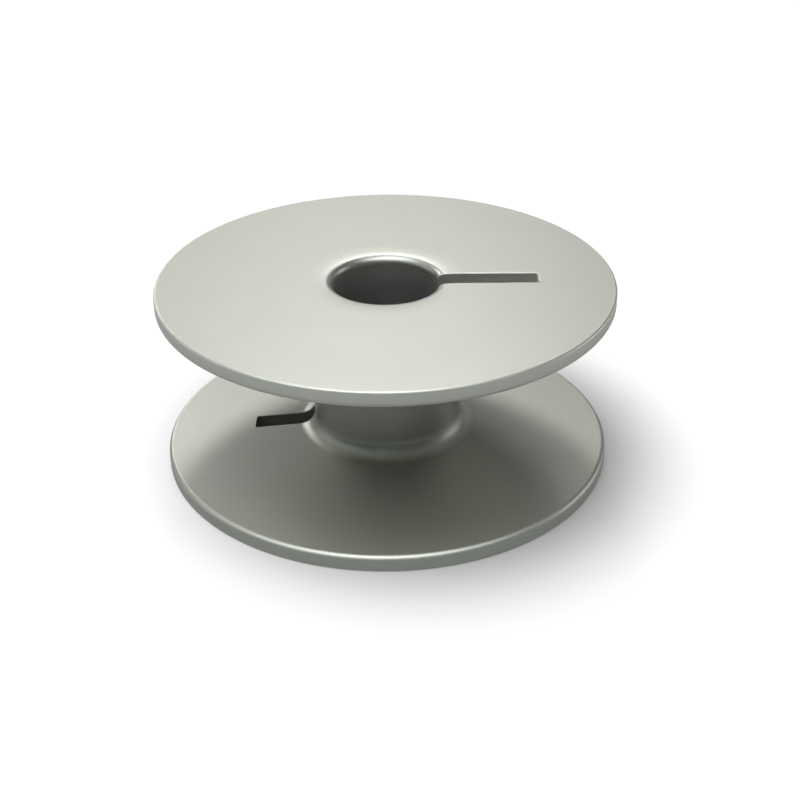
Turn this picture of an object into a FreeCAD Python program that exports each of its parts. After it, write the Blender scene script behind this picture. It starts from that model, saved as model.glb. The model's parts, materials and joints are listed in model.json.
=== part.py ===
"""Aluminium sewing machine bobbin: one turned piece with a hub, two tapered flanges and a thread slot in each.

The bobbin is turned about its own bore, so its half-section is revolved and mirrored about the middle of
its height. A saw disc cuts one thread slot into the upper flange, towards +X. Turning the bobbin over about Y
gives the other slot, in the lower flange towards -X, so either end can face up in the machine.
The origin is on the bore axis, at the lower flange's outer face, with +Z along the bore. Millimetres.
"""
import FreeCAD
import Part
import math
import os
import Sketcher

# Driving dimensions, one cell each: alias, value and what it measures.
SIZES = [
    ("flange_diameter", 26.0, "outside of both flanges"),
    ("overall_height", 10.8, "between the outer faces of the flanges"),
    ("bore_diameter", 6.0, "bore that the winder spindle and the case post enter"),
    ("hub_wall", 1.3, "wall of the hub, from the bore to where the thread is wound"),
    ("rim_thickness", 0.95, "flange thickness at its rounded rim"),
    ("flange_taper", 0.8, "how much thicker the flange is at the hub than at the rim"),
    ("hub_fillet", 1.0, "radius between a flange's inner face and the hub"),
    ("bore_lead", 0.45, "radius of the rounded mouth of the bore"),
    ("slot_width", 1.25, "width of the thread slot, which is the thickness of the saw"),
    ("slot_reach", 8.65, "distance from the bore axis to the slot's closed end, on the outer face"),
    ("saw_diameter", 8.0, "disc that cuts the slot, from which its end and its floor are curved"),
]

NODE = "bobbin"
FULL_TURN = 360
START, END, CENTRE = 1, 2, 3
ORIGIN_POINT = (-1, 1)
HORIZONTAL_AXIS = -1


def add_sizes(doc):
    """Spreadsheet of the driving dimensions, with an alias on every value."""
    sheet = doc.addObject("Spreadsheet::Sheet", "Sizes")
    for row, (alias, value, meaning) in enumerate(SIZES, start=1):
        sheet.set(f"A{row}", meaning)
        sheet.set(f"B{row}", str(value))
        sheet.setAlias(f"B{row}", alias)
    doc.recompute()
    return sheet


def origin_feature(body, role):
    """Base plane or axis of the body, found by its role, such as XY_Plane."""
    return next(feature for feature in body.Origin.OriginFeatures if feature.Role == role)


def add_section_sketch(body, name):
    """Empty sketch on the plane through the bore axis: across is X, up is Z."""
    sketch = body.newObject("Sketcher::SketchObject", name)
    sketch.AttachmentSupport = [(origin_feature(body, "XZ_Plane"), "")]
    sketch.MapMode = "FlatFace"
    return sketch


def line(x0, y0, x1, y1):
    return Part.LineSegment(FreeCAD.Vector(x0, y0, 0), FreeCAD.Vector(x1, y1, 0))


def circle(x, y, radius):
    return Part.Circle(FreeCAD.Vector(x, y, 0), FreeCAD.Vector(0, 0, 1), radius)


def arc(x, y, radius, start_deg, end_deg):
    return Part.ArcOfCircle(circle(x, y, radius), math.radians(start_deg), math.radians(end_deg))


def drive(sketch, name, expression, kind, *where):
    """Dimension in a sketch, named and bound to the sizes."""
    value = sketch.evalExpression(expression)
    index = sketch.addConstraint(Sketcher.Constraint(kind, *where, float(value)))
    sketch.renameConstraint(index, name)
    sketch.setExpression(f"Constraints.{name}", expression)


def turned_section(body, sheet):
    """Upper half of the bobbin's section, from the bore out to the rim and back along the hub.

    Every corner is a tangent arc: the mouth of the bore, the full-round rim and the hub fillet. The inner
    face of the flange leans, so that the flange thickens from its rim to its root at the hub.
    """
    bore = sheet.bore_diameter / 2
    hub = bore + sheet.hub_wall
    top = sheet.overall_height / 2
    nose = sheet.rim_thickness / 2
    rim_centre = sheet.flange_diameter / 2 - nose
    root = top - sheet.rim_thickness - sheet.flange_taper
    lead, fillet = sheet.bore_lead, sheet.hub_fillet

    sketch = add_section_sketch(body, "half_section")
    bore_wall = sketch.addGeometry(line(bore, 0, bore, top - lead))
    mouth = sketch.addGeometry(arc(bore + lead, top - lead, lead, 90, 180))
    outer_face = sketch.addGeometry(line(bore + lead, top, rim_centre, top))
    rim = sketch.addGeometry(arc(rim_centre, top - nose, nose, -90, 90))
    inner_face = sketch.addGeometry(line(rim_centre, top - 2 * nose, hub + fillet, root))
    root_fillet = sketch.addGeometry(arc(hub + fillet, root - fillet, fillet, 90, 180))
    hub_side = sketch.addGeometry(line(hub, root - fillet, hub, 0))
    middle = sketch.addGeometry(line(hub, 0, bore, 0))
    root_corner = sketch.addGeometry(Part.Point(FreeCAD.Vector(hub, root, 0)), True)

    for upright in (bore_wall, hub_side):
        sketch.addConstraint(Sketcher.Constraint("Vertical", upright))
    for level in (outer_face, middle):
        sketch.addConstraint(Sketcher.Constraint("Horizontal", level))
    for first, first_end, second, second_end in (
        (bore_wall, END, mouth, END),
        (mouth, START, outer_face, START),
        (outer_face, END, rim, END),
        (rim, START, inner_face, START),
        (inner_face, END, root_fillet, START),
        (root_fillet, END, hub_side, START),
    ):
        sketch.addConstraint(Sketcher.Constraint("Tangent", first, first_end, second, second_end))
    sketch.addConstraint(Sketcher.Constraint("Coincident", hub_side, END, middle, START))
    sketch.addConstraint(Sketcher.Constraint("Coincident", middle, END, bore_wall, START))
    sketch.addConstraint(Sketcher.Constraint("PointOnObject", bore_wall, START, HORIZONTAL_AXIS))
    for face in (inner_face, hub_side):
        sketch.addConstraint(Sketcher.Constraint("PointOnObject", root_corner, START, face))

    drive(sketch, "bore_radius", "Sizes.bore_diameter / 2", "DistanceX", *ORIGIN_POINT, bore_wall, START)
    drive(sketch, "hub_radius", "Sizes.bore_diameter / 2 + Sizes.hub_wall",
          "DistanceX", *ORIGIN_POINT, hub_side, END)
    drive(sketch, "half_height", "Sizes.overall_height / 2", "DistanceY", *ORIGIN_POINT, outer_face, START)
    drive(sketch, "rim_centre", "(Sizes.flange_diameter - Sizes.rim_thickness) / 2",
          "DistanceX", *ORIGIN_POINT, rim, CENTRE)
    drive(sketch, "root_height", "Sizes.overall_height / 2 - Sizes.rim_thickness - Sizes.flange_taper",
          "DistanceY", *ORIGIN_POINT, root_corner, START)
    drive(sketch, "mouth_radius", "Sizes.bore_lead", "Radius", mouth)
    drive(sketch, "nose_radius", "Sizes.rim_thickness / 2", "Radius", rim)
    drive(sketch, "fillet_radius", "Sizes.hub_fillet", "Radius", root_fillet)
    return sketch


def turn(body, sketch):
    """Upper half of the bobbin, revolved about the bore axis."""
    turned = body.newObject("PartDesign::Revolution", "turned_half")
    turned.Profile = sketch
    turned.ReferenceAxis = (sketch, ["V_Axis"])
    turned.Angle = FULL_TURN
    return turned


def add_other_half(body, half):
    """Lower half, the mirror image of the upper one about the middle of the hub."""
    whole = body.newObject("PartDesign::Mirrored", "turned_whole")
    whole.Originals = [half]
    whole.MirrorPlane = (origin_feature(body, "XY_Plane"), [""])
    body.Tip = whole
    return whole


def saw_slot(body, sheet):
    """Thread slot in the upper flange: open into the bore, closed short of the rim.

    The saw goes in through the outer face until it is as deep as the top of the hub fillet, so that the
    thread's tail can pass from the hub to the outer face. Half the disc's chord on the outer face puts the
    disc's centre that far inside the slot's closed end.
    """
    depth = "(Sizes.rim_thickness + Sizes.flange_taper + Sizes.hub_fillet)"
    half_chord = f"sqrt({depth} * (Sizes.saw_diameter - {depth}))"

    sketch = add_section_sketch(body, "saw_disc")
    disc = sketch.addGeometry(circle(sheet.slot_reach / 2, sheet.overall_height, sheet.saw_diameter / 2))
    drive(sketch, "disc_radius", "Sizes.saw_diameter / 2", "Radius", disc)
    drive(sketch, "disc_across", f"Sizes.slot_reach - {half_chord}", "DistanceX", *ORIGIN_POINT, disc, CENTRE)
    drive(sketch, "disc_height", f"Sizes.overall_height / 2 - {depth} + Sizes.saw_diameter / 2",
          "DistanceY", *ORIGIN_POINT, disc, CENTRE)

    slot = body.newObject("PartDesign::Pocket", "upper_slot")
    slot.Profile = sketch
    slot.Midplane = True
    slot.setExpression("Length", "Sizes.slot_width")
    return slot


def repeat_slot(body, slot):
    """The same slot in the lower flange, where half a turn about Y carries it."""
    both = body.newObject("PartDesign::PolarPattern", "both_slots")
    both.Originals = [slot]
    both.Axis = (origin_feature(body, "Y_Axis"), [""])
    both.Angle = FULL_TURN
    both.Occurrences = 2
    body.Tip = both
    return both


def make_bobbin(doc, sheet):
    """The whole bobbin, standing on its lower flange."""
    body = doc.addObject("PartDesign::Body", NODE)
    body.Label = NODE
    half = turn(body, turned_section(body, sheet))
    doc.recompute()
    add_other_half(body, half)
    doc.recompute()
    slot = saw_slot(body, sheet)
    doc.recompute()
    repeat_slot(body, slot)
    body.setExpression("Placement.Base.z", "Sizes.overall_height / 2")
    doc.recompute()
    return body


def check(doc, parts):
    """Stops if any object failed to compute, or a part isn't one valid solid."""
    for item in doc.Objects:
        if {"Invalid", "Error"} & set(item.State):
            raise RuntimeError(f"{item.Label} did not compute: {item.State}")
    for part in parts:
        if part.Shape.isNull() or not part.Shape.isValid() or len(part.Shape.Solids) != 1:
            raise RuntimeError(f"{part.Label} is not one valid solid")


def export(parts):
    os.makedirs("parts", exist_ok=True)
    for part in parts:
        part.Shape.exportStep(os.path.join("parts", f"{part.Label}.step"))
        print(part.Label, part.Shape.BoundBox, f"volume {part.Shape.Volume:.2f} mm3")


def main():
    doc = FreeCAD.newDocument("Bobbin")
    sheet = add_sizes(doc)
    parts = [make_bobbin(doc, sheet)]
    check(doc, parts)
    export(parts)


main()
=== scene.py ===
"""Aluminium sewing machine bobbin, turned, sawn and dressed for its picture.

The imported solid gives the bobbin's size and place. One mesh stands for it: the upper half of the section is rounded
at its corners, spun about the bore, mirrored, and sawn where the two thread slots are, and it is finished as satin
turned metal. Sections and slots are worked out in millimetres, and the finished mesh is brought to metres.
"""
import json
import logging
import math
from dataclasses import dataclass, field
from enum import Enum

import bmesh
import bpy
from mathutils import Matrix, Vector


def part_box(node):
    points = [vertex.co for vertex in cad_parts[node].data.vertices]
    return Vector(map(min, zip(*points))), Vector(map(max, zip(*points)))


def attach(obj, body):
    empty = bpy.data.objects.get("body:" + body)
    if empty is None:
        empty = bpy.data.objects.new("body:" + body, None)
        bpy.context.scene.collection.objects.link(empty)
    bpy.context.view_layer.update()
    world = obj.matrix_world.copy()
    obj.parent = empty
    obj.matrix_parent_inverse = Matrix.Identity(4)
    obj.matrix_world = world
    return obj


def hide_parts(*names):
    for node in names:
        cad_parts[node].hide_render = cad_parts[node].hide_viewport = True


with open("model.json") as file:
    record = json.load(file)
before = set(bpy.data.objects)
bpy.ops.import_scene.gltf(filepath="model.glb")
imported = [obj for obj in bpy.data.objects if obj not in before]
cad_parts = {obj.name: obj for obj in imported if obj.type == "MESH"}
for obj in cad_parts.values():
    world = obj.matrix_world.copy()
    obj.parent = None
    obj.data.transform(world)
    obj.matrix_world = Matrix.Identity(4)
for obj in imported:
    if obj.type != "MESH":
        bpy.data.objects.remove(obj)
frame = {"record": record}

MM = 0.001
NODE = "bobbin"
BODY = "root"
FRAME_PIXELS = 800
SENSOR_MM = 36.0
# Watts per square metre of a soft box whose face has a brightness of 1.
LAMP_WATTS = math.pi
# Faintly green light of the boxes that fill the shade.
COOL = (0.86, 1.0, 0.95)

log = logging.getLogger("bobbin")


class Zone(Enum):
    """Surfaces of the bobbin by how they were cut and where they lie, numbered as the mesh's material slots.

    The wound ones are the hub and the inner faces of the flanges, between which thread is wound. Their colours, like
    those of the bore and the slots, carry painted light and shade.
    """

    TURNED = 0
    WOUND = 1
    BORED = 2
    SAWN = 3


# What a shader socket can be fed: another socket, a number or a vector.
Feed = bpy.types.NodeSocket | float | tuple[float, ...]


class NodeSheet:
    """Adds nodes to one shader tree and feeds their sockets, so that a finish reads as a list of steps."""

    def __init__(self, tree: bpy.types.NodeTree) -> None:
        """Takes the tree that the nodes go into."""
        self.tree = tree

    def add(self, kind: str, **settings: object) -> bpy.types.Node:
        """Adds a node.

        Args:
            kind: Blender's name of the node, without its ShaderNode prefix.
            settings: Properties of the node itself.

        Returns:
            The node.
        """
        node = self.tree.nodes.new(f"ShaderNode{kind}")
        for key, value in settings.items():
            setattr(node, key, value)
        return node

    def feed(self, socket: bpy.types.NodeSocket, source: Feed) -> None:
        """Wires a socket to another one, or sets it to a plain value.

        Args:
            socket: Input that is fed.
            source: Output that feeds it, or the value that it is set to.
        """
        if isinstance(source, bpy.types.NodeSocket):
            self.tree.links.new(source, socket)
        else:
            socket.default_value = source

    def maths(self, operation: str, first: Feed, second: Feed = 0.0) -> bpy.types.NodeSocket:
        """Works out a number from one or two others.

        Args:
            operation: Blender's name of the sum, such as MULTIPLY.
            first: First number.
            second: Second number, where the sum has one.

        Returns:
            The result's socket.
        """
        node = self.add("Math", operation=operation)
        self.feed(node.inputs[0], first)
        self.feed(node.inputs[1], second)
        return node.outputs["Value"]

    def vectors(self, operation: str, first: Feed, second: Feed = (0.0, 0.0, 0.0)) -> bpy.types.Node:
        """Works out a vector, or the length of one.

        Args:
            operation: Blender's name of the sum, such as MULTIPLY.
            first: First vector.
            second: Second vector, where the sum has one.

        Returns:
            The node, with its Vector and Value outputs.
        """
        node = self.add("VectorMath", operation=operation)
        self.feed(node.inputs[0], first)
        self.feed(node.inputs[1], second)
        return node

    def noise(self, position: Feed, scale: Feed, octaves: tuple[float, float]) -> bpy.types.NodeSocket:
        """Adds soft noise.

        Args:
            position: Where it is read, in millimetres.
            scale: Blobs per millimetre.
            octaves: Number of finer octaves, and how strong each of them is.

        Returns:
            A value of about 0.5, from 0 to 1.
        """
        detail, roughness = octaves
        node = self.add("TexNoise")
        self.feed(node.inputs["Vector"], position)
        self.feed(node.inputs["Scale"], scale)
        self.feed(node.inputs["Detail"], detail)
        self.feed(node.inputs["Roughness"], roughness)
        return node.outputs["Fac"]

    def ramp(self, value: Feed, start: Feed, end: Feed, low: Feed = 0.0, high: Feed = 1.0) -> bpy.types.NodeSocket:
        """Eases a value from one level to another.

        Args:
            value: What is looked at.
            start: Value at which the easing starts.
            end: Value at which it ends.
            low: Level before the start.
            high: Level after the end.

        Returns:
            The eased level's socket.
        """
        node = self.add("MapRange", interpolation_type="SMOOTHSTEP")
        for socket, source in zip(node.inputs, (value, start, end, low, high)):
            self.feed(socket, source)
        return node.outputs["Result"]

    def mix(self, share: Feed, first: Feed, second: Feed) -> bpy.types.NodeSocket:
        """Mixes two colours.

        Args:
            share: Share of the second colour.
            first: Colour at a share of 0.
            second: Colour at a share of 1.

        Returns:
            The mixed colour's socket.
        """
        node = self.add("Mix", data_type="RGBA")
        for socket, source in zip((socket for socket in node.inputs if socket.enabled), (share, first, second)):
            self.feed(socket, source)
        return next(socket for socket in node.outputs if socket.enabled)


@dataclass
class SharedEffects:
    """Surface effects that more than one finish uses, each a node group that is built once.

    An effect's octaves are its noise's finer detail, and its edges are the noise levels between which it sets in.
    """

    mark_drift: float = 0.12
    mark_octaves: tuple[float, float] = (2.0, 0.55)
    band_share: float = 0.1
    smudge_octaves: tuple[float, float] = (3.0, 0.5)
    smudge_edges: tuple[float, float] = (0.38, 0.66)
    scratch_octaves: tuple[float, float] = (1.0, 0.4)
    scratch_edges: tuple[float, float] = (0.72, 0.78)
    scratch_stretch: tuple[float, float, float] = (0.35, 11.0, 0.35)
    scratch_turns: tuple[float, ...] = (0.4, 1.7)
    grain_octaves: tuple[float, float] = (2.0, 0.6)
    tool_marks: bpy.types.NodeTree = field(init=False)
    handling: bpy.types.NodeTree = field(init=False)

    def __post_init__(self) -> None:
        """Builds the groups."""
        self.tool_marks = self._build_tool_marks()
        self.handling = self._build_handling()

    @staticmethod
    def _new_group(
        name: str, inputs: dict[str, str], outputs: tuple[str, ...]
    ) -> tuple[NodeSheet, bpy.types.NodeOutputs, bpy.types.NodeInputs]:
        """Starts a node group.

        Args:
            name: Name of the group.
            inputs: Kind of each input socket by its name.
            outputs: Names of the outputs, which are all values.

        Returns:
            The group's sheet, the sockets that bring its inputs, and the sockets that take its outputs.
        """
        tree = bpy.data.node_groups.new(name, "ShaderNodeTree")
        for label, kind in inputs.items():
            tree.interface.new_socket(label, in_out="INPUT", socket_type=kind)
        for label in outputs:
            tree.interface.new_socket(label, in_out="OUTPUT", socket_type="NodeSocketFloat")
        start, end = tree.nodes.new("NodeGroupInput"), tree.nodes.new("NodeGroupOutput")
        return NodeSheet(tree), start.outputs, end.inputs

    def _build_tool_marks(self) -> bpy.types.NodeTree:
        """Fine rings that a cutting tool leaves about the Z axis, on flat faces and on round ones.

        Returns:
            Group with the height of single marks, and broader bands where the tool cut brighter or duller.
        """
        sheet, given, made = self._new_group(
            "tool_marks", {"Position": "NodeSocketVector", "Pitch": "NodeSocketFloat"}, ("Height", "Bands"))
        radius = sheet.vectors("LENGTH", sheet.vectors("MULTIPLY", given["Position"], (1, 1, 0)).outputs[0])
        parts = sheet.add("SeparateXYZ")
        sheet.feed(parts.inputs[0], given["Position"])
        across = sheet.maths("ADD", radius.outputs["Value"], sheet.maths("ABSOLUTE", parts.outputs["Z"]))
        lane = sheet.maths("DIVIDE", across, given["Pitch"])
        for label, share in (("Height", 1.0), ("Bands", self.band_share)):
            place = sheet.add("CombineXYZ")
            sheet.feed(place.inputs["X"], sheet.maths("MULTIPLY", parts.outputs["X"], self.mark_drift))
            sheet.feed(place.inputs["Y"], sheet.maths("MULTIPLY", parts.outputs["Y"], self.mark_drift))
            sheet.feed(place.inputs["Z"], sheet.maths("MULTIPLY", lane, share))
            sheet.feed(made[label], sheet.noise(place.outputs[0], 1.0, self.mark_octaves))
        return sheet.tree

    def _build_handling(self) -> bpy.types.NodeTree:
        """Smudges, fine scratches and the matte grain of tumbled metal.

        Returns:
            Group with a mask of smudges, a mask of scratches and the height of the grain.
        """
        sheet, given, made = self._new_group(
            "handling", {"Position": "NodeSocketVector", "Smudges": "NodeSocketFloat", "Grain": "NodeSocketFloat"},
            ("Smudge", "Scratch", "Grain Height"))
        smudge = sheet.noise(given["Position"], given["Smudges"], self.smudge_octaves)
        sheet.feed(made["Smudge"], sheet.ramp(smudge, *self.smudge_edges))
        scratch = None
        for turn in self.scratch_turns:
            lay = sheet.add("Mapping")
            sheet.feed(lay.inputs["Vector"], given["Position"])
            sheet.feed(lay.inputs["Rotation"], (0.0, 0.0, turn))
            sheet.feed(lay.inputs["Scale"], self.scratch_stretch)
            line = sheet.ramp(sheet.noise(lay.outputs[0], 1.0, self.scratch_octaves), *self.scratch_edges)
            scratch = line if scratch is None else sheet.maths("MAXIMUM", scratch, line)
        sheet.feed(made["Scratch"], scratch)
        sheet.feed(made["Grain Height"], sheet.noise(given["Position"], given["Grain"], self.grain_octaves))
        return sheet.tree


@dataclass(frozen=True)
class ToolLie:
    """Axis that the marks of a tool run round: the bore's own, or the saw disc's, which lies along Y."""

    disc_centre: tuple[float, float] | None = None

    def position(self, sheet: NodeSheet, position: bpy.types.NodeSocket) -> bpy.types.NodeSocket:
        """Turns a position so that the marks run round its Z axis.

        Args:
            sheet: Sheet of the material.
            position: Position from the middle of the bobbin, in millimetres.

        Returns:
            The position about the tool's axis.
        """
        if self.disc_centre is None:
            return position
        parts = sheet.add("SeparateXYZ")
        sheet.feed(parts.inputs[0], position)
        side = sheet.maths("SIGN", parts.outputs["Z"])
        across, height = self.disc_centre
        place = sheet.add("CombineXYZ")
        for source, offset, target in (("X", across, "X"), ("Z", height, "Y")):
            upper = sheet.maths("MULTIPLY", parts.outputs[source], side)
            sheet.feed(place.inputs[target], sheet.maths("SUBTRACT", upper, offset))
        return place.outputs[0]


@dataclass(frozen=True)
class WearAndPaintedLightRing:
    """Ring about the bore whose colour and gloss differ from the metal beside it, such as a burnished rim or mouth
    that is partly a painted highlight, and the painted shade round the hub.

    Its radii run from the plain metal to the ring's own finish, in millimetres.
    """

    radii: tuple[float, float]
    roughness: float
    colour: tuple[float, float, float]

    def mask(self, sheet: NodeSheet, radius: bpy.types.NodeSocket) -> bpy.types.NodeSocket:
        """Value that is 1 on the ring and 0 elsewhere, found from the distance to the bore axis."""
        return sheet.ramp(radius, *self.radii)


@dataclass(frozen=True)
class MetalFinish:
    """Bare aluminium as one tool leaves it, with lengths in millimetres. Some finishes and rings carry painted light
    and shade in their colours.
    """

    name: str
    bright: tuple[float, float, float]
    dull: tuple[float, float, float]
    roughness: float
    band_gloss: float
    mark_pitch: float
    mark_depth: float
    grain_depth: float
    band_edges: tuple[float, float] = (0.3, 0.7)
    smudges: float = 0.3
    grain: float = 9.0
    smudge_tint: float = 0.5
    smudge_gloss: float = 0.02
    scratch_depth: float = 0.0003
    rings: tuple[WearAndPaintedLightRing, ...] = ()

    def material(self, effects: SharedEffects, middle: Vector, lie: ToolLie) -> bpy.types.Material:
        """Builds the finish.

        Args:
            effects: Node groups that the finishes share.
            middle: Middle of the bobbin, from which positions are measured.
            lie: How the tool's marks lie on the piece.

        Returns:
            The material.
        """
        material = bpy.data.materials.new(self.name)
        material.use_nodes = True
        sheet = NodeSheet(material.node_tree)
        shader = material.node_tree.nodes["Principled BSDF"]
        coordinates = sheet.add("TexCoord")
        measured = sheet.add("Mapping")
        sheet.feed(measured.inputs["Vector"], coordinates.outputs["Object"])
        sheet.feed(measured.inputs["Location"], tuple(-middle / MM))
        sheet.feed(measured.inputs["Scale"], (1 / MM, 1 / MM, 1 / MM))
        position = measured.outputs["Vector"]

        marks = sheet.add("Group", node_tree=effects.tool_marks)
        sheet.feed(marks.inputs["Position"], lie.position(sheet, position))
        sheet.feed(marks.inputs["Pitch"], self.mark_pitch)
        handling = sheet.add("Group", node_tree=effects.handling)
        sheet.feed(handling.inputs["Position"], position)
        sheet.feed(handling.inputs["Smudges"], self.smudges)
        sheet.feed(handling.inputs["Grain"], self.grain)

        tint = sheet.maths("MULTIPLY", handling.outputs["Smudge"], self.smudge_tint)
        colour = sheet.mix(tint, (*self.bright, 1), (*self.dull, 1))
        glossy, matte = self.roughness - self.band_gloss, self.roughness + self.band_gloss
        bands = sheet.ramp(marks.outputs["Bands"], *self.band_edges, glossy, matte)
        gloss = sheet.maths("MULTIPLY", handling.outputs["Smudge"], self.smudge_gloss)
        rough = sheet.maths("ADD", bands, gloss)
        across = sheet.vectors("MULTIPLY", position, (1, 1, 0)).outputs["Vector"]
        radius = sheet.vectors("LENGTH", across).outputs["Value"]
        for ring in self.rings:
            share = ring.mask(sheet, radius)
            colour = sheet.mix(share, colour, (*ring.colour, 1))
            rough = sheet.ramp(share, 0.0, 1.0, rough, ring.roughness)
        sheet.feed(shader.inputs["Base Color"], colour)
        sheet.feed(shader.inputs["Roughness"], rough)
        shader.inputs["Metallic"].default_value = 1.0

        ridges = sheet.maths("MULTIPLY", marks.outputs["Height"], self.mark_depth)
        grain = sheet.maths("MULTIPLY", handling.outputs["Grain Height"], self.grain_depth)
        scratches = sheet.maths("MULTIPLY", handling.outputs["Scratch"], self.scratch_depth)
        height = sheet.maths("SUBTRACT", sheet.maths("ADD", ridges, grain), scratches)
        bump = sheet.add("Bump")
        bump.inputs["Distance"].default_value = MM
        sheet.feed(bump.inputs["Height"], height)
        sheet.feed(shader.inputs["Normal"], bump.outputs["Normal"])
        return material


# Lighter band round the rim of both flanges: partly a burnished edge, partly a painted highlight.
RIM_WEAR_AND_PAINTED_HIGHLIGHT = WearAndPaintedLightRing(radii=(12.8, 12.98), roughness=0.5, colour=(0.66, 0.67, 0.62))
FINISHES: dict[Zone, MetalFinish] = {
    Zone.TURNED: MetalFinish(
        name="turned_aluminium", bright=(0.45, 0.452, 0.407), dull=(0.439, 0.441, 0.4), roughness=0.49,
        band_gloss=0.006, mark_pitch=0.16, mark_depth=0.0003, grain_depth=0.0013, smudge_gloss=0.004,
        # Round the bore's mouth the metal is glossier and a little lighter: a burnished ring, partly a painted
        # highlight.
        rings=(WearAndPaintedLightRing(radii=(4.0, 3.3), roughness=0.42, colour=(0.47, 0.47, 0.437)), RIM_WEAR_AND_PAINTED_HIGHLIGHT),
    ),
    # Lighter than the turned finish: painted light on the flanges' inner faces.
    Zone.WOUND: MetalFinish(
        name="wound_aluminium_painted_light_and_shade", bright=(0.513, 0.515, 0.467), dull=(0.5, 0.502, 0.458), roughness=0.49,
        band_gloss=0.006, mark_pitch=0.16, mark_depth=0.0003, grain_depth=0.0013, smudge_gloss=0.004,
        # Darker ring on the hub and its fillet: painted shade between the flanges.
        rings=(WearAndPaintedLightRing(radii=(4.8, 4.35), roughness=0.49, colour=(0.39, 0.397, 0.363)), RIM_WEAR_AND_PAINTED_HIGHLIGHT),
    ),
    # Darker than the turned finish: painted shade inside the bore.
    Zone.BORED: MetalFinish(
        name="bored_aluminium_painted_shade", bright=(0.39, 0.4, 0.38), dull=(0.345, 0.355, 0.335), roughness=0.55,
        band_gloss=0.05, mark_pitch=0.25, mark_depth=0.0015, grain_depth=0.0012,
    ),
    # Lighter than the turned finish: painted light on the walls of the slots.
    Zone.SAWN: MetalFinish(
        name="sawn_aluminium_painted_light", bright=(0.56, 0.565, 0.535), dull=(0.48, 0.485, 0.46), roughness=0.55,
        band_gloss=0.06, mark_pitch=0.2, mark_depth=0.003, grain_depth=0.0015,
    ),
}


@dataclass
class TurnedSection:
    """Upper half of the bobbin's half-section, in millimetres, with heights from the middle of the hub.

    The flange ends in a rim whose outer edge is turned tighter than its inner one. Its inner face leans, so that it
    thickens towards the hub, where a fillet takes it down to the surface that the thread is wound on. Its outer face
    is dished a little towards the mouth of the bore.
    """

    flange_radius: float
    half_height: float
    bore_radius: float
    mouth_radius: float
    hub_wall: float = 1.3
    rim_thickness: float = 0.95
    rim_edge: float = 0.14
    rim_inner: float = 0.3
    flange_taper: float = 0.8
    hub_fillet: float = 1.0
    dish_radius: float = 4.2
    dish_depth: float = 0.045
    dish_round: float = 16.0

    @classmethod
    def from_frame(cls) -> "TurnedSection":
        """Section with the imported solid's outside and the bore of its record.

        Returns:
            The section, with the remaining sizes at their own values.
        """
        low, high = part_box(NODE)
        bore = next(mount for mount in frame["record"]["mounts"] if mount["kind"] == "bore")
        height = (high.z - low.z) / MM
        return cls(
            flange_radius=(high.x - low.x) / MM / 2,
            half_height=height / 2,
            bore_radius=bore["dims"]["r_mm"],
            mouth_radius=(height - bore["dims"]["length_mm"]) / 2,
        )

    @property
    def hub_radius(self) -> float:
        """Radius that the thread is wound on."""
        return self.bore_radius + self.hub_wall

    @property
    def root_height(self) -> float:
        """Height at which the inner face would meet the hub if it had no fillet."""
        return self.half_height - self.rim_thickness - self.flange_taper

    @property
    def slope(self) -> float:
        """Rise of the inner face per millimetre of radius.

        Returns:
            The rise that it has in the solid, where it is tangent to a full-round rim.
        """
        nose = self.rim_thickness / 2
        across = self.flange_radius - nose - self.hub_radius
        rise = self.half_height - nose - self.root_height
        return math.tan(math.atan2(rise, across) - math.asin(nose / math.hypot(across, rise)))

    def inner_face(self, radius: float) -> float:
        """Height of the flange's inner face at a radius."""
        return self.root_height + self.slope * (radius - self.hub_radius)


@dataclass
class ThreadSlot:
    """Slot that a saw disc leaves in the upper flange, towards +X, in millimetres.

    It opens into the bore, passes through the flange and the hub fillet, and is closed short of the rim.
    """

    section: TurnedSection
    width: float = 1.25
    reach: float = 8.65
    saw_radius: float = 4.0
    edge_break: float = 0.06

    @property
    def disc_centre(self) -> tuple[float, float]:
        """Distance across from the bore axis and height of the saw disc's centre."""
        depth = self.section.rim_thickness + self.section.flange_taper + self.section.hub_fillet
        half_chord = math.sqrt(depth * (2 * self.saw_radius - depth))
        return self.reach - half_chord, self.section.half_height - depth + self.saw_radius

    def floor_height(self, radius: float) -> float:
        """Height of the slot's floor where it comes out at a radius of the hub's wall."""
        across, height = self.disc_centre
        return height - math.sqrt(self.saw_radius ** 2 - (radius - across) ** 2)

    @property
    def inner_reach(self) -> float:
        """Radius at which the slot's closed end comes out of the flange's inner face."""
        across, height = self.disc_centre
        slope = self.section.slope
        drop = self.section.inner_face(across) - height
        share = 1 + slope ** 2
        return across + (math.sqrt(share * self.saw_radius ** 2 - drop ** 2) - slope * drop) / share

    def holds(self, point: Vector, side: int) -> bool:
        """Tells whether the saw passes through a point.

        Args:
            point: Where to look, in the section's millimetres.
            side: 1 for the upper slot, -1 for the lower one, which is the upper one turned over about Y.

        Returns:
            True where the point is inside the saw's width and inside its disc.
        """
        across, height = self.disc_centre
        reach = math.hypot(side * point.x - across, side * point.z - height)
        return abs(point.y) < self.width / 2 and reach < self.saw_radius


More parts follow.
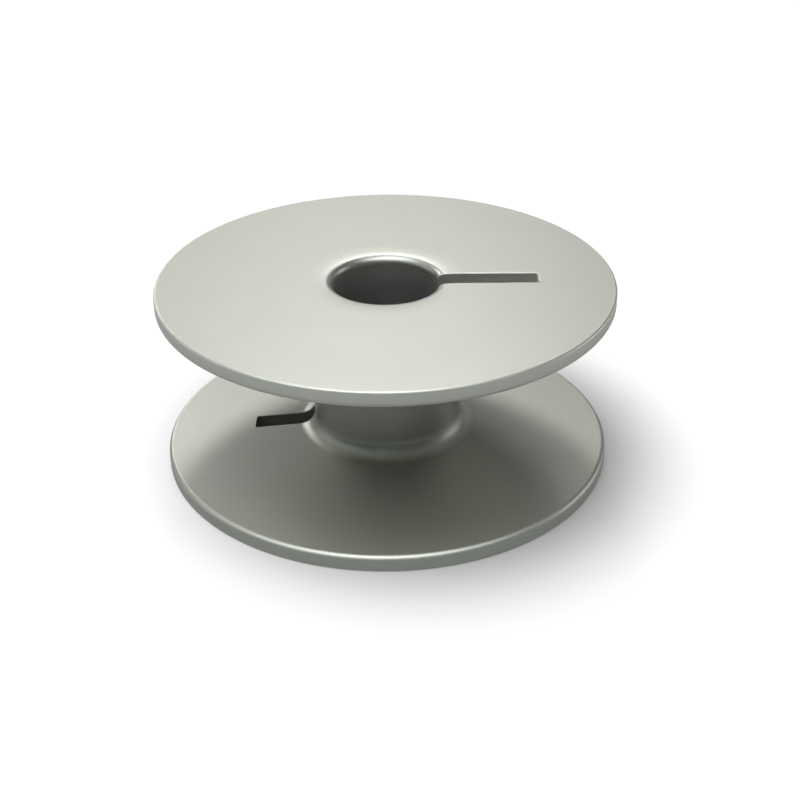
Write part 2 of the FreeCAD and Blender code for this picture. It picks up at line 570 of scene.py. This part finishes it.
@dataclass
class Bobbin:
    """The whole bobbin, one turned piece with a thread slot in each flange."""

    section: TurnedSection
    slot: ThreadSlot
    name: str = "bobbin_turned"
    turn_steps: int = 180
    slot_steps: int = 2
    spread_angle: float = math.radians(60)
    arc_segments: int = 10
    wall_cuts: int = 4
    break_segments: int = 3
    crease_angle: float = math.radians(40)
    merge: float = 1e-3
    angle_slack: float = 1.001
    piece: bpy.types.Object | None = field(default=None, init=False)

    def build(self) -> bpy.types.Object:
        """Turns the bobbin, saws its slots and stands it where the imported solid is.

        Returns:
            The finished piece, at the origin, with its place in its mesh.
        """
        bm = bmesh.new()
        self._draw_section(bm)
        self._turn(bm)
        self._follow_slots(bm)
        for side in (1, -1):
            self._saw(bm, side)
        self._crease(bm)
        low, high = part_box(NODE)
        bmesh.ops.scale(bm, vec=(MM, MM, MM), verts=bm.verts)
        bmesh.ops.translate(bm, vec=(low + high) / 2, verts=bm.verts)
        mesh = bpy.data.meshes.new(self.name)
        bm.to_mesh(mesh)
        bm.free()
        self.piece = bpy.data.objects.new(self.name, mesh)
        bpy.context.scene.collection.objects.link(self.piece)
        weighted = self.piece.modifiers.new("weighted_normals", "WEIGHTED_NORMAL")
        weighted.keep_sharp = True
        return self.piece

    def _draw_section(self, bm: bmesh.types.BMesh) -> None:
        """Draws the half-section from the bore to the hub, and rounds its corners.

        The points on straight runs become the rings at which the slots end.

        Args:
            bm: Empty mesh that takes the outline.
        """
        s, slot = self.section, self.slot
        outline = (
            (s.bore_radius, 0, 0),
            (s.bore_radius, slot.floor_height(s.bore_radius), 0),
            (s.bore_radius, s.half_height - s.dish_depth, s.mouth_radius),
            (s.dish_radius, s.half_height, s.dish_round),
            (slot.reach, s.half_height, 0),
            (s.flange_radius, s.half_height, s.rim_edge),
            (s.flange_radius, s.inner_face(s.flange_radius), s.rim_inner),
            (slot.inner_reach, s.inner_face(slot.inner_reach), 0),
            (s.hub_radius, s.root_height, s.hub_fillet),
            (s.hub_radius, slot.floor_height(s.hub_radius), 0),
            (s.hub_radius, 0, 0),
        )
        points = [bm.verts.new((radius, 0, height)) for radius, height, _ in outline]
        for start, end in zip(points, points[1:]):
            bm.edges.new((start, end))
        for point, (_, _, rounding) in zip(points, outline):
            if rounding:
                self._round(bm, point, rounding)
        bmesh.ops.remove_doubles(bm, verts=bm.verts, dist=self.merge)

    def _round(self, bm: bmesh.types.BMesh, point: bmesh.types.BMVert, radius: float) -> None:
        """Rounds one corner of the outline, tangent to both of its edges.

        Args:
            bm: Mesh that holds the outline.
            point: The corner.
            radius: Radius of the round.
        """
        tangent = radius * math.tan(point.calc_edge_angle() / 2)
        bmesh.ops.bevel(
            bm, geom=[point], offset=tangent, offset_type="ABSOLUTE", affect="VERTICES",
            segments=self.arc_segments, profile=0.5, material=-1,
        )

    def _turn(self, bm: bmesh.types.BMesh) -> None:
        """Spins the outline about the bore and mirrors the half that it gives.

        Args:
            bm: Mesh that holds the outline.
        """
        bmesh.ops.spin(
            bm, geom=bm.verts[:] + bm.edges[:], cent=(0, 0, 0), axis=(0, 0, 1),
            angle=2 * math.pi, steps=self.turn_steps, use_merge=True,
        )
        bmesh.ops.mirror(
            bm, geom=bm.verts[:] + bm.edges[:] + bm.faces[:], matrix=Matrix.Identity(4),
            merge_dist=self.merge, axis="Z",
        )
        bmesh.ops.recalc_face_normals(bm, faces=bm.faces)
        for face in bm.faces:
            face.material_index = self._zone(face).value

    def _zone(self, face: bmesh.types.BMFace) -> Zone:
        """Tells how a face of the turned bobbin was cut.

        Args:
            face: Face of the mesh before it is sawn.

        Returns:
            The bore's zone, the wound one for hub and inner faces, or else the turned one.
        """
        place = face.calc_center_median()
        if place.xy.length < self.section.bore_radius + self.merge:
            return Zone.BORED
        inward = face.normal.z * math.copysign(1, place.z) < -self.merge
        return Zone.WOUND if inward or abs(place.z) < self.section.root_height else Zone.TURNED

    def _follow_slots(self, bm: bmesh.types.BMesh) -> None:
        """Draws the lines beside each slot aside, so that two of them run along the slot's edges.

        Args:
            bm: Mesh of the turned bobbin, before it is sawn.
        """
        edge = self.slot_steps * 2 * math.pi / self.turn_steps
        for vert in bm.verts:
            ahead = 1 if vert.co.x > 0 else -1
            angle = math.atan2(ahead * vert.co.y, ahead * vert.co.x)
            beside = abs(angle)
            if beside >= self.spread_angle:
                continue
            wanted = math.asin(self.slot.width / 2 / vert.co.xy.length)
            if beside <= edge * self.angle_slack:
                moved = beside * wanted / edge
            else:
                moved = wanted + (beside - edge) * (self.spread_angle - wanted) / (self.spread_angle - edge)
            turn = math.copysign(moved, angle) - angle
            vert.co.rotate(Matrix.Rotation(turn, 3, "Z"))

    def _saw(self, bm: bmesh.types.BMesh, side: int) -> None:
        """Opens one slot, closes its end, floor and sides, and breaks its edges.

        The sides take the sawn finish. The end and the floor keep the finish of a face that they join, and which of
        the two faces that is can differ from run to run.

        Args:
            bm: Mesh of the turned bobbin.
            side: 1 for the upper slot, -1 for the lower one.
        """
        across, height = self.slot.disc_centre
        opened = [face for face in bm.faces if self.slot.holds(face.calc_center_median(), side)]
        bmesh.ops.delete(bm, geom=opened, context="FACES")
        lips = [edge for edge in bm.edges if edge.is_boundary]

        crossing = [edge for edge in lips if abs(edge.verts[0].co.y - edge.verts[1].co.y) > self.merge]
        middle = (self.slot.inner_reach + self.section.hub_radius) / 2
        ends = [edge for edge in crossing if side * edge.verts[0].co.x > middle]
        floors = [edge for edge in crossing if side * edge.verts[0].co.x < middle]
        for pair in (ends, floors):
            bridge = bmesh.ops.bridge_loops(bm, edges=pair)
            cut = bmesh.ops.subdivide_edges(bm, edges=bridge["edges"], cuts=self.wall_cuts, use_grid_fill=True)
            for vert in {item for item in cut["geom_inner"] if isinstance(item, bmesh.types.BMVert)}:
                arm = Vector((vert.co.x - side * across, 0, vert.co.z - side * height))
                bmesh.ops.translate(bm, vec=arm * (self.slot.saw_radius / arm.length - 1), verts=[vert])
        rims = [edge for edge in bm.edges if edge.is_boundary]
        walls = bmesh.ops.edgeloop_fill(bm, edges=rims)["faces"]
        for face in walls:
            face.material_index = Zone.SAWN.value
        bmesh.ops.recalc_face_normals(bm, faces=bm.faces)
        bmesh.ops.bevel(
            bm, geom=[edge for edge in lips if edge.is_valid], offset=self.slot.edge_break, offset_type="OFFSET",
            affect="EDGES", segments=self.break_segments, profile=0.5, material=-1, clamp_overlap=True,
        )

    def _crease(self, bm: bmesh.types.BMesh) -> None:
        """Keeps the corners inside the slots sharp in the shading, and everything else smooth.

        Args:
            bm: Mesh of the finished bobbin.
        """
        for face in bm.faces:
            face.smooth = True
        for edge in bm.edges:
            edge.smooth = edge.calc_face_angle(0) < self.crease_angle

    def dress(self, effects: SharedEffects) -> None:
        """Gives each zone of the piece the marks that its tool leaves, and colours with painted light on the inner
        faces and slots, painted shade on the hub and in the bore, and a partly painted highlight on the rim and the
        bore's mouth.

        Args:
            effects: Node groups that the finishes share.
        """
        low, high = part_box(NODE)
        middle = (low + high) / 2
        saw = ToolLie(self.slot.disc_centre)
        for zone in Zone:
            lie = saw if zone is Zone.SAWN else ToolLie()
            self.piece.data.materials.append(FINISHES[zone].material(effects, middle, lie))

    def fit(self) -> None:
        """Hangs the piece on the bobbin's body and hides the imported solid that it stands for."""
        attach(self.piece, BODY)
        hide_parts(NODE)


@dataclass(frozen=True)
class SoftBox:
    """Square soft box that faces the bobbin, placed by the direction it shines from.

    Angles are in degrees, the width and the distance in metres.
    """

    name: str
    azimuth: float
    elevation: float
    width: float
    brightness: float
    tint: tuple[float, float, float] = (1.0, 1.0, 1.0)
    distance: float = 0.5

    def hang(self, target: Vector) -> bpy.types.Object:
        """Adds the lamp.

        Args:
            target: Point that the lamp faces.

        Returns:
            The lamp.
        """
        data = bpy.data.lights.new(self.name, "AREA")
        data.shape = "SQUARE"
        data.size = self.width
        data.energy = self.brightness * LAMP_WATTS * self.width ** 2
        data.color = self.tint
        lamp = bpy.data.objects.new(self.name, data)
        bpy.context.scene.collection.objects.link(lamp)
        azimuth, elevation = math.radians(self.azimuth), math.radians(self.elevation)
        level = math.cos(elevation)
        arm = Vector((level * math.cos(azimuth), level * math.sin(azimuth), math.sin(elevation)))
        lamp.location = target + self.distance * arm
        lamp.rotation_euler = arm.to_track_quat("Z", "Y").to_euler()
        return lamp


@dataclass
class Studio:
    """White floor with a painted shadow round the bobbin, soft boxes and the pale room round them."""

    floor_radius: float = 1.2
    floor_gap: float = 0.02 * MM
    floor_sides: int = 96
    floor_colour: tuple[float, float, float] = (0.31, 0.31, 0.31)
    floor_lift: float = 0.72
    # The lift is left out within the first radius of this middle, a little right of and in front of the bobbin, and
    # is full past the second: a painted shadow.
    painted_shadow_middle: tuple[float, float, float] = (2 * MM, -1 * MM, 0)
    painted_shadow_radii: tuple[float, float] = (8 * MM, 18 * MM)
    # Metal sees the floor unlifted within the first radius and fully lifted past the second: painted shade in the
    # floor's reflection.
    painted_reflection_shade_radii: tuple[float, float] = (35 * MM, 80 * MM)
    room_light: float = 0.03
    room_in_metal: float = 0.02
    soft_boxes: tuple[SoftBox, ...] = (
        SoftBox("key_box", azimuth=92.5, elevation=43.5, width=0.085, brightness=23.6),
        SoftBox("left_high_box", azimuth=180, elevation=70, width=0.3, brightness=1.6),
        SoftBox("left_front_box", azimuth=205, elevation=40, width=0.25, brightness=1.0, tint=COOL),
        SoftBox("right_front_box", azimuth=340, elevation=40, width=0.25, brightness=0.2, tint=COOL),
        SoftBox("front_left_box", azimuth=230, elevation=50, width=0.2, brightness=1.45, tint=COOL),
        SoftBox("front_high_box", azimuth=270, elevation=50, width=0.2, brightness=1.2, tint=COOL),
        SoftBox("front_right_box", azimuth=310, elevation=50, width=0.2, brightness=0.9, tint=COOL),
        SoftBox("front_low_box", azimuth=270, elevation=30, width=0.2, brightness=0.35, tint=COOL),
        SoftBox("top_box", azimuth=270, elevation=72, width=0.38, brightness=3.3),
        SoftBox("left_back_box", azimuth=127, elevation=26, width=0.12, brightness=6.6),
        SoftBox("left_low_box", azimuth=170, elevation=20, width=0.2, brightness=1.3),
        SoftBox("right_low_box", azimuth=15, elevation=14, width=0.15, brightness=3.2),
        SoftBox("right_back_box", azimuth=60, elevation=18, width=0.15, brightness=0.8),
        SoftBox("right_key_box", azimuth=75, elevation=40, width=0.12, brightness=2.3),
        SoftBox("back_low_box", azimuth=115, elevation=14, width=0.15, brightness=2.6),
    )

    def build(self, ground: float, target: Vector) -> None:
        """Sets the studio up round the bobbin.

        Args:
            ground: Height that the bobbin stands at.
            target: Point that the lamps face.
        """
        self._lay_floor(ground)
        self._light_room()
        for box in self.soft_boxes:
            box.hang(target)

    def _lay_floor(self, ground: float) -> None:
        """Lays the round white floor.

        Args:
            ground: Height that the bobbin stands at.
        """
        bm = bmesh.new()
        bmesh.ops.create_circle(bm, cap_ends=True, segments=self.floor_sides, radius=self.floor_radius)
        bmesh.ops.translate(bm, vec=(0, 0, ground - self.floor_gap), verts=bm.verts)
        mesh = bpy.data.meshes.new("floor")
        bm.to_mesh(mesh)
        bm.free()
        floor = bpy.data.objects.new("floor", mesh)
        bpy.context.scene.collection.objects.link(floor)
        mesh.materials.append(self._floor_paint())

    def _floor_paint(self) -> bpy.types.Material:
        """Matte paint that is lifted to white away from the bobbin, in the picture and in metal. Near the bobbin the
        lift is left out: a painted shadow for the camera, and painted shade in the floor's reflection in metal.

        Returns:
            The material.
        """
        material = bpy.data.materials.new("floor_white_painted_shadow")
        material.use_nodes = True
        sheet = NodeSheet(material.node_tree)
        shader = material.node_tree.nodes["Principled BSDF"]
        shader.inputs["Base Color"].default_value = (*self.floor_colour, 1)
        shader.inputs["Roughness"].default_value = 1.0
        shader.inputs["Specular IOR Level"].default_value = 0.0
        shader.inputs["Emission Color"].default_value = (1, 1, 1, 1)
        path = sheet.add("LightPath").outputs
        seen = sheet.maths("MAXIMUM", path["Is Camera Ray"], path["Is Transmission Ray"])
        position = sheet.add("TexCoord").outputs["Object"]
        # Painted shadow: the lift that the camera sees eases in away from the bobbin.
        aside = sheet.vectors("DISTANCE", position, self.painted_shadow_middle).outputs["Value"]
        lift_past_painted_shadow = sheet.maths("MULTIPLY", seen, sheet.ramp(aside, *self.painted_shadow_radii, 0.0, self.floor_lift))
        # Painted shade in reflections: the lift that metal sees eases in further out.
        radius = sheet.vectors("LENGTH", position).outputs["Value"]
        lift_past_painted_reflection_shade = sheet.maths(
            "MULTIPLY", path["Is Glossy Ray"], sheet.ramp(radius, *self.painted_reflection_shade_radii, 0.0, self.floor_lift))
        sheet.feed(shader.inputs["Emission Strength"], sheet.maths("ADD", lift_past_painted_shadow, lift_past_painted_reflection_shade))
        return material

    def _light_room(self) -> None:
        """Gives the room a white background, which metal sees only dimly, and an even light."""
        world = bpy.data.worlds.new("pale_room")
        world.use_nodes = True
        world.cycles.sampling_method = "NONE"
        sheet = NodeSheet(world.node_tree)
        path = sheet.add("LightPath").outputs
        seen = sheet.maths("MAXIMUM", path["Is Camera Ray"], path["Is Transmission Ray"])
        metal = sheet.maths("MULTIPLY", path["Is Glossy Ray"], self.room_in_metal)
        even = sheet.maths("MULTIPLY", path["Is Diffuse Ray"], self.room_light)
        light = sheet.maths("MAXIMUM", seen, sheet.maths("MAXIMUM", metal, even))
        background = world.node_tree.nodes["Background"]
        background.inputs["Color"].default_value = (1, 1, 1, 1)
        sheet.feed(background.inputs["Strength"], light)
        bpy.context.scene.world = world


@dataclass
class PictureCamera:
    """Camera at the photograph's place, aimed by its height, its distance and its offset in the picture."""

    elevation: float = math.radians(30.10)
    roll: float = math.radians(-0.37)
    distance: float = 77.73 * MM
    offset_right: float = 0.788 * MM
    offset_up: float = -2.211 * MM
    focal_pixels: float = 1326.7
    near: float = 1 * MM
    far: float = 10.0

    def place(self, target: Vector) -> bpy.types.Object:
        """Adds the camera and makes it the scene's own.

        Args:
            target: Point of the object that the elevation and the distance are measured from.

        Returns:
            The camera.
        """
        data = bpy.data.cameras.new("picture_camera")
        data.sensor_width = SENSOR_MM
        data.lens = self.focal_pixels * SENSOR_MM / FRAME_PIXELS
        data.clip_start = self.near
        data.clip_end = self.far
        camera = bpy.data.objects.new("picture_camera", data)
        bpy.context.scene.collection.objects.link(camera)
        tilt = Matrix.Rotation(math.pi / 2 - self.elevation, 4, "X")
        turn = tilt @ Matrix.Rotation(self.roll, 4, "Z")
        stand = Vector((self.offset_right, self.offset_up, self.distance))
        camera.matrix_world = Matrix.Translation(target) @ turn @ Matrix.Translation(stand)
        bpy.context.scene.camera = camera
        return camera


def main() -> None:
    """Builds the bobbin, its finish, the studio and the camera."""
    logging.basicConfig(level=logging.INFO, format="%(name)s: %(message)s")
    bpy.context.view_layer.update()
    bpy.context.scene.view_settings.view_transform = "Standard"
    section = TurnedSection.from_frame()
    bobbin = Bobbin(section, ThreadSlot(section))
    piece = bobbin.build()
    bobbin.dress(SharedEffects())
    bobbin.fit()
    log.info("%s: %d faces, %d finishes", piece.name, len(piece.data.polygons), len(piece.data.materials))
    low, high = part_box(NODE)
    middle = (low + high) / 2
    studio = Studio()
    studio.build(low.z, middle)
    log.info("studio: floor and %d soft boxes", len(studio.soft_boxes))
    camera = PictureCamera().place(middle)
    log.info("%s: %.1f mm lens", camera.name, camera.data.lens)


if __name__ == "__main__":
    main()
